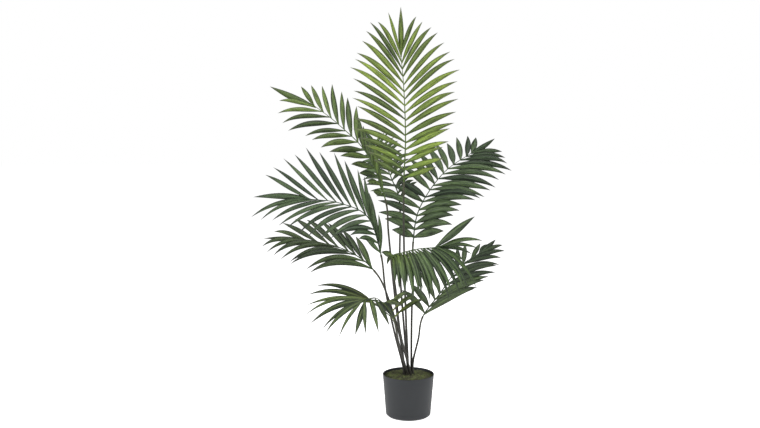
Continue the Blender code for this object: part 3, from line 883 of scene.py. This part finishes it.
def moss_cushion(rim, settings):
    """The closed lumpy cushion that the tufts stand on."""
    skin = bmesh.new()
    middle = skin.verts.new((0.0, 0.0, moss_height(0.0, 0.0, rim, settings.lumps)))
    before = None
    for ring in range(1, MOSS_RINGS + 1):
        radius = rim * ring / MOSS_RINGS
        now = []
        for side in range(MOSS_SIDES):
            angle = math.tau * side / MOSS_SIDES
            x, y = radius * math.cos(angle), radius * math.sin(angle)
            now.append(skin.verts.new((x, y, moss_height(x, y, rim, settings.lumps))))
        for side in range(MOSS_SIDES):
            after = (side + 1) % MOSS_SIDES
            if before:
                skin.faces.new((before[side], now[side], now[after], before[after]))
            else:
                skin.faces.new((middle, now[side], now[after]))
        before = now
    close_below(skin, before, SOIL_HIGH.z + 0.0003)
    bmesh.ops.recalc_face_normals(skin, faces=skin.faces)
    return skinned(skin, "moss_cushion")


def close_below(skin, edge, height):
    """A wall down from a ring of points, and a flat underside."""
    low = [skin.verts.new((vert.co.x * 0.985, vert.co.y * 0.985, height)) for vert in edge]
    count = len(edge)
    for side in range(count):
        after = (side + 1) % count
        skin.faces.new((edge[side], low[side], low[after], edge[after]))
    skin.faces.new(low)


def moss_tuft(height):
    """A few curved, pointed shoots that lean out from one point."""
    chance = random.Random(5)
    shoots = 6
    skin = bmesh.new()
    for shoot in range(shoots):
        turn = math.tau * (shoot + chance.uniform(-0.3, 0.3)) / shoots
        lean = chance.uniform(0.35, 1.0)
        tall = height * chance.uniform(0.6, 1.0)
        out = Vector((math.cos(turn), math.sin(turn), 0.0))
        side = Vector((-out.y, out.x, 0.0)) * height * 0.11
        foot = out * height * 0.08 - Vector((0.0, 0.0, height * 0.25))
        knee = foot + out * tall * lean * 0.4 + Vector((0.0, 0.0, tall * 0.75))
        tip = knee + out * tall * lean * 0.6 + Vector((0.0, 0.0, tall * 0.35))
        back = out * height * -0.09
        low = [skin.verts.new(foot + way) for way in (side, -side, back)]
        mid = [skin.verts.new(knee + way * 0.8) for way in (side, -side, back)]
        top = skin.verts.new(tip)
        for one, two in ((0, 1), (1, 2), (2, 0)):
            skin.faces.new((low[one], low[two], mid[two], mid[one]))
            skin.faces.new((mid[one], mid[two], top))
        skin.faces.new(low[::-1])
    bmesh.ops.recalc_face_normals(skin, faces=skin.faces)
    return skinned(skin, "moss_tuft")


def moss_material(settings):
    """Green and dry brown moss patches, painted shade in hollows between shoots and low by the pot's wall.
    """
    made = Surface("moss")
    place = made.object_place()
    patches = made.ramp(made.noise(place, 85.0, 4.0), (0.40, 0.0), (0.60, 1.0))
    # painted shade: dark patches in the hollows between the shoots
    painted_hollow_shade = made.ramp(made.noise(place, 130.0, 3.0), (0.36, 1.0), (0.50, 0.0))
    flecks = made.ramp(made.noise(place, 420.0, 3.0), (0.35, 0.0), (0.7, 1.0))
    green, brown = linear(settings.green), linear(settings.brown)
    shade = made.mix(patches, brown, green)
    shade = made.toned(0.75, shade, flecks, (0.35, 0.33, 0.3), (1.25, 1.25, 1.15))
    shade = made.mix(painted_hollow_shade * 0.7, shade, scaled(brown, 0.3))
    # painted shade: the moss darkens where it lies deep below the rim, next to the pot's wall
    above_painted_shade = (made.parts(place)[2] - (POT_HIGH.z - MOSS_PAINTED_SHADE_BELOW)) * (1.0 / MOSS_PAINTED_SHADE_DEPTH)
    shade = made.toned(1.0, shade, made.ramp(above_painted_shade, (0.0, 0.0), (1.0, 1.0)), (0.35,) * 3, (1.0,) * 3)
    return made.finish(shade, 0.88 + 0.1 * flecks, flecks, strength=0.5, depth=0.001)


class PALM_OT_moss(bpy.types.Operator):
    """Grow the moss on the soil"""

    bl_idname = "palm.moss"
    bl_label = "Grow moss"

    def execute(self, context):
        settings = context.scene.palm_moss
        pot = context.scene.palm_pot
        rim = POT_HIGH.x - pot.wall - MOSS_CLEARANCE
        cushion = moss_cushion(rim, settings)
        tuft = moss_tuft(settings.tuft_height)
        values = {
            "Density": float(settings.tufts),
            "Tuft": tuft,
            "Least": 0.45,
            "Most": 1.0,
            "Seed": 4,
            "Wall radius": rim + MOSS_CLEARANCE / 5,
            "Material": moss_material(settings),
        }
        moss = grown(cushion, moss_tree(), values, "moss_carpet")
        bpy.data.objects.remove(tuft, do_unlink=True)
        kept(moss, "moss", "moss")
        return {"FINISHED"}


# ----------------------------------------------------------------------------------------- stems


def stem_breadth(share, settings):
    """A stem's radius: tapered, with a sheath at the joint."""
    plain = settings.foot_radius + (settings.top_radius - settings.foot_radius) * share
    sheath = max(0.0, 1.0 - (1.0 - share) / 0.035)
    return plain * (1.0 + settings.collar * math.sin(sheath * math.pi / 2))


def stem_guide(frond, settings):
    """A stem's line from the soil to its joint."""
    steps = 46
    route, joint = frond_route(frond, settings.foot_radius)
    shares = [step / steps for step in range(steps + 1)]
    points = [route.at(share * joint) for share in shares]
    across = [square_to(Vector((1.0, 0.0, 0.0)), route.heading(share * joint)) for share in shares]
    guide = Guide()
    breadths = [stem_breadth(share, settings) for share in shares]
    guide.line(points, across, breadth=breadths, along=shares, tint=frond.seed / 20.0)
    return guide.object(frond.name + "_stem_guide")


def stem_material(settings):
    """Dark fibrous bark, streaked along the stem, greener near the leaf."""
    made = Surface("stem_bark")
    made.shader.inputs["Specular IOR Level"].default_value = 0.35
    side, upper = made.attribute("side"), made.attribute("upper")
    along, tint = made.attribute("along"), made.attribute("tint")
    fibres = made.noise(made.vector(side * 3.0 + upper * 9.0, along * 5.0, tint * 30.0), 2.4, 4.0, 0.6)
    streaks = made.ramp(fibres, (0.35, 0.0), (0.68, 1.0))
    bark, young = linear(settings.bark), linear(settings.young)
    shade = made.mix(made.ramp(along, (0.72, 0.0), (1.0, 1.0)), bark, young)
    shade = made.toned(0.9, shade, streaks, (0.62, 0.62, 0.62), (1.35, 1.33, 1.25))
    return made.finish(shade, 0.44 + 0.16 * streaks, fibres, strength=0.35, depth=0.0004)


class PALM_OT_stems(bpy.types.Operator):
    """Grow the stems"""

    bl_idname = "palm.stems"
    bl_label = "Grow stems"

    def execute(self, context):
        settings = context.scene.palm_stems
        bark = stem_material(settings)
        tree = rod_tree()
        for frond in FRONDS:
            guide = stem_guide(frond, settings)
            stem = grown(guide, tree, {"Sides": 14, "Material": bark}, "stem_" + frond.name)
            kept(stem, "stem", frond.name + "_stem")
        return {"FINISHED"}


# ---------------------------------------------------------------------------------------- leaves


def leaflet_breadth(share):
    """A leaflet's half width as a share of its widest: a short foot, a long belly and a fine tip."""
    belly = max(0.0, math.sin(math.pi * share ** 0.87)) ** 0.92
    foot = 0.22 * (1.0 - share) ** 6
    return max(belly, foot, 0.02)


class Leaflet:
    """One leaflet's line from the midrib to its tip, with the way across it at each point."""

    STEPS = 13
    DROOP_FROM = 0.5

    def __init__(self, foot, tip, along, up):
        self.foot = foot
        self.tip = tip
        self.along = along
        self.up = up
        self.reach = (tip - foot).length

    def lay(self, arch, turn, twist, bow, droop):
        """Works out the points and the ways across, for these bends."""
        chord = self.tip - self.foot
        control = self.foot.lerp(self.tip, 0.5) + self.along * (bow * self.reach)
        control.z += arch * self.reach
        width_line = self.along - chord * (self.along.dot(chord) / chord.length_squared)
        up = self.up
        self.points, self.across = [], []
        for share in self.shares():
            near = self.foot.lerp(control, share)
            far = control.lerp(self.tip, share)
            heading = (far - near).normalized()
            flat = square_to(width_line, heading)
            normal = heading.cross(flat)
            if normal.dot(up) < 0:
                normal.negate()
            up = normal
            angle = turn * min(1.0, share / TURN_DONE) + twist * share
            across = flat * math.cos(angle) - normal * math.sin(angle)
            faced = normal * math.cos(angle) + flat * math.sin(angle)
            if heading.cross(across).dot(faced) < 0:
                across.negate()
            hang = max(0.0, (share - self.DROOP_FROM) / (1.0 - self.DROOP_FROM)) ** 2
            self.points.append(near.lerp(far, share) - Vector((0.0, 0.0, droop * self.reach * hang)))
            self.across.append(across)

    @classmethod
    def shares(cls):
        return [(step / cls.STEPS) ** 0.94 for step in range(cls.STEPS + 1)]


def leaf_guide(frond, stem_radius, settings):
    """The lines of a leaf's midrib and leaflets."""
    route, joint = frond_route(frond, stem_radius)
    left, right = Line(on_rim(*frond.left)), Line(on_rim(*frond.right))
    tip_chance = random.Random(frond.seed)
    chance = random.Random(frond.seed + 100)
    guide = Guide()
    add_midrib(guide, route, joint, right.at(0.5) - left.at(0.5), settings)
    for pair in range(frond.pairs):
        row = pair / (frond.pairs - 1)
        share = joint + (1.0 - joint) * (FIRST_PAIR + (LAST_PAIR - FIRST_PAIR) * row)
        heading = route.heading(share)
        up = square_to(right.at(row) - left.at(row), heading).cross(heading)
        sides = ((left, frond.left_turn, frond.arch[0]), (right, frond.right_turn, frond.arch[1]))
        for tips, turns, arch in sides:
            scatter = Vector([tip_chance.uniform(-TIP_SCATTER, TIP_SCATTER) for _ in range(3)])
            shift = chance.uniform(-0.35, 0.35) * (LAST_PAIR - FIRST_PAIR) * (1.0 - joint) / frond.pairs
            foot = route.at(share + shift * 0.5)
            tip = foot.lerp(tips.at(row) + scatter, chance.uniform(0.93, 1.04))
            leaflet = Leaflet(foot, tip, heading, up)
            leaflet.lay(
                arch=arch * chance.uniform(0.85, 1.2),
                turn=math.radians(turns[0] + (turns[1] - turns[0]) * row),
                twist=math.radians(chance.uniform(-16.0, 16.0)),
                bow=frond.bow[0] + (frond.bow[1] - frond.bow[0]) * row + chance.uniform(-0.02, 0.035),
                droop=settings.droop * chance.uniform(0.1, 1.2),
            )
            width = frond.width * chance.uniform(0.86, 1.08) * (1.0 - 0.28 * row ** 2)
            add_leaflet(guide, leaflet, width, row, chance.random())
    across = right.at(1.0) - left.at(1.0)
    end = Leaflet(route.at(END_FOOT), *on_rim(frond.end), across, Vector((0.0, -1.0, 0.3)))
    end.lay(arch=frond.arch[0] * 0.6, turn=0.0, twist=0.0, bow=0.0, droop=0.0)
    add_leaflet(guide, end, frond.end_width, 1.0, chance.random())
    return guide.object(frond.name + "_leaf_guide")


def add_leaflet(guide, leaflet, width, row, tint):
    shares = Leaflet.shares()
    breadths = [width / 2 * leaflet_breadth(share) for share in shares]
    guide.line(leaflet.points, leaflet.across, breadth=breadths, along=shares, row=row, tint=tint)


def add_midrib(guide, route, joint, side_line, settings):
    """The midrib's line, from just inside the stem's sheath to its tip."""
    steps = 30
    start = joint - PLUG_LENGTH * 0.3 / route.length
    shares = [start + (1.0 - start) * step / steps for step in range(steps + 1)]
    along = [step / steps for step in range(steps + 1)]
    slim = settings.rib_width - settings.rib_tip_width
    breadths = [(settings.rib_width - slim * far) / 2 for far in along]
    across = [square_to(side_line, route.heading(share)) for share in shares]
    guide.line([route.at(share) for share in shares], across, breadth=breadths, along=along, rib=1.0)


def leaf_material(frond, settings):
    """Green leaflets with painted sheen and shade in streaks, fine veins, painted shade along the edges,
    dry tips, and an olive midrib.
    """
    made = Surface(frond.name + "_green")
    made.shader.inputs["Specular IOR Level"].default_value = 0.25
    side, along = made.attribute("side"), made.attribute("along")
    row, tint, rib = made.attribute("row"), made.attribute("tint"), made.attribute("rib")
    upper = made.attribute("upper")
    middle = made.maths("ABSOLUTE", side)
    streaks = made.noise(made.vector(side * 2.4, along * 1.7, tint * 40.0), 2.6, 4.0, 0.6)
    fine = made.noise(made.vector(side * 9.0, along * 2.6, tint * 40.0), 3.0, 2.0)
    patches = made.noise(made.object_place(), 26.0, 3.0)
    veins = made.maths("ABSOLUTE", made.maths("SINE", side * (math.pi * settings.veins)))
    midvein = made.ramp(middle, (0.0, 1.0), (0.16, 0.0))

    green, base, tip = linear(frond.green), linear(frond.base), linear(frond.tip)
    young = made.ramp(row, (0.0, 1.0), (0.55, 0.0)) * made.ramp(along, (0.1, 1.0), (0.6, 0.1))
    shade = made.mix(young, green, base)
    # painted sheen and shade: lengthwise streaks lighten a leaflet to about twice its colour and darken it
    # to a fifth
    painted_sheen = made.ramp(streaks, (0.36, 0.0), (0.64, 1.0))
    painted_edge_shade = made.ramp(middle, (0.35, 1.0), (1.0, 0.0))
    shade = made.toned(1.0, shade, tint, (0.34, 0.38, 0.42), (1.66, 1.57, 1.32))
    shade = made.toned(1.0, shade, painted_sheen, (0.20, 0.22, 0.24), (2.05, 1.98, 1.80))
    shade = made.toned(0.6, shade, fine, (0.4, 0.42, 0.42), (1.6, 1.58, 1.5))
    shade = made.toned(0.4, shade, veins, (0.55, 0.6, 0.55), (1.15, 1.12, 1.05))
    shade = made.toned(0.6, shade, patches, (0.6, 0.64, 0.66), (1.35, 1.32, 1.25))
    # painted shade: each leaflet's edges darkened and its middle lightened, for the shade between
    # neighbouring leaflets
    shade = made.toned(1.0, shade, painted_edge_shade, (0.46, 0.48, 0.50), (1.22, 1.20, 1.16))
    shade = made.mix(midvein * 0.45, shade, scaled(base, 2.2, 0.015))
    shade = made.mix(made.ramp(along, (0.78, 0.0), (0.96, 0.85)), shade, tip)
    shade = made.mix((1.0 - upper) * 0.25, shade, scaled(green, 1.5, 0.015))
    shade = made.mix(rib, shade, made.mix(along, scaled(base, 1.1), green))
    roughness = 0.34 + 0.22 * streaks + 0.06 * veins
    height = veins * 0.5 + midvein + streaks * 0.6
    return made.finish(shade, roughness, height, strength=0.4, depth=0.0005)


class PALM_OT_leaves(bpy.types.Operator):
    """Grow the leaves"""

    bl_idname = "palm.leaves"
    bl_label = "Grow leaves"

    def execute(self, context):
        settings = context.scene.palm_leaves
        stem_radius = context.scene.palm_stems.foot_radius
        tree = leaf_tree()
        for frond in FRONDS:
            guide = leaf_guide(frond, stem_radius, settings)
            values = {
                "Sides": settings.sides,
                "Thickness": settings.thickness,
                "Fold": settings.fold,
                "Rib flatness": 0.8,
                "Material": leaf_material(frond, settings),
            }
            leaf = grown(guide, tree, values, "leaf_" + frond.name)
            kept(leaf, frond.slot, frond.name + "_leaf")
        return {"FINISHED"}


# ---------------------------------------------------------------------------------------- studio


def studio_floor(glow):
    """A wide pale floor, which glows a little so that it stays white up to the horizon."""
    made = Surface("studio_floor")
    made.fill(made.shader.inputs["Emission Color"], (1.0, 1.0, 1.0, 1.0))
    made.fill(made.shader.inputs["Emission Strength"], glow)
    made.finish((0.9, 0.9, 0.9, 1.0), 0.9)
    skin = bmesh.new()
    bmesh.ops.create_grid(skin, x_segments=4, y_segments=4, size=FLOOR_REACH)
    floor = skinned(skin, "studio_floor", smooth=False)
    floor.data.materials.append(made.material)
    floor.location.z = POT_LOW.z - FLOOR_GAP


def studio_light(name, place, aim, size, power):
    light = bpy.data.lights.new(name, "AREA")
    light.shape = "SQUARE"
    light.size = size
    light.energy = power
    lamp = placed(light, name)
    lamp.location = place
    lamp.rotation_euler = (Vector(aim) - Vector(place)).to_track_quat("-Z", "Y").to_euler()


def studio_sky(strength):
    """A white surround that lights the plant less than it shows behind it."""
    world = bpy.data.worlds.new("studio")
    world.use_nodes = True
    board = Board(world.node_tree)
    seen = board.add("ShaderNodeLightPath")
    glow = strength + seen * (1.0 - strength)
    sky = world.node_tree.nodes["Background"]
    board.fill(sky.inputs["Color"], (1.0, 1.0, 1.0, 1.0))
    board.fill(sky.inputs["Strength"], glow)
    bpy.context.scene.world = world


class PALM_OT_studio(bpy.types.Operator):
    """Set up the floor, the lights and the camera"""

    bl_idname = "palm.studio"
    bl_label = "Set up studio"

    def execute(self, context):
        settings = context.scene.palm_studio
        studio_floor(settings.glow)
        studio_sky(settings.sky)
        middle = (0.0, 0.0, POT_HIGH.z * 4.5)
        studio_light("right_light", (2.3, -1.5, 2.3), middle, 2.2, settings.key)
        studio_light("left_light", (-2.5, -0.9, 1.6), middle, 1.8, settings.key * 0.85)
        studio_light("top_light", (0.2, -0.3, 3.4), middle, 1.6, settings.key * 0.5)
        context.scene.view_settings.view_transform = "Standard"
        data = bpy.data.cameras.new("camera")
        data.lens = settings.lens
        data.sensor_width = 36.0
        camera = placed(data, "camera")
        camera.location = (-0.086, -3.0, 0.95)
        camera.rotation_euler = (math.radians(90.0 - 6.37), 0.0, 0.0)
        context.scene.camera = camera
        return {"FINISHED"}


# ------------------------------------------------------------------------------------ the add-on


OPERATORS = (PALM_OT_pot, PALM_OT_soil, PALM_OT_moss, PALM_OT_stems, PALM_OT_leaves, PALM_OT_studio)
SETTINGS = {
    "palm_pot": PalmPotSettings,
    "palm_moss": PalmMossSettings,
    "palm_stems": PalmStemSettings,
    "palm_leaves": PalmLeafSettings,
    "palm_studio": PalmStudioSettings,
}


class PALM_PT_panel(bpy.types.Panel):
    """The palm's operators and sizes"""

    bl_idname = "PALM_PT_panel"
    bl_label = "Potted palm"
    bl_space_type = "VIEW_3D"
    bl_region_type = "UI"
    bl_category = "Palm"

    def draw(self, context):
        for operator in OPERATORS:
            self.layout.operator(operator.bl_idname)
        for name, kind in SETTINGS.items():
            box = self.layout.box()
            for setting in kind.__annotations__:
                box.prop(getattr(context.scene, name), setting)


def register():
    for kind in (*SETTINGS.values(), *OPERATORS, PALM_PT_panel):
        bpy.utils.register_class(kind)
    for name, kind in SETTINGS.items():
        setattr(bpy.types.Scene, name, PointerProperty(type=kind))


def unregister():
    for name in SETTINGS:
        delattr(bpy.types.Scene, name)
    for kind in (PALM_PT_panel, *reversed(OPERATORS), *SETTINGS.values()):
        bpy.utils.unregister_class(kind)


def main():
    register()
    bpy.ops.palm.pot()
    bpy.ops.palm.soil()
    bpy.ops.palm.moss()
    bpy.ops.palm.stems()
    bpy.ops.palm.leaves()
    bpy.ops.palm.studio()


if __name__ == "__main__":
    main()
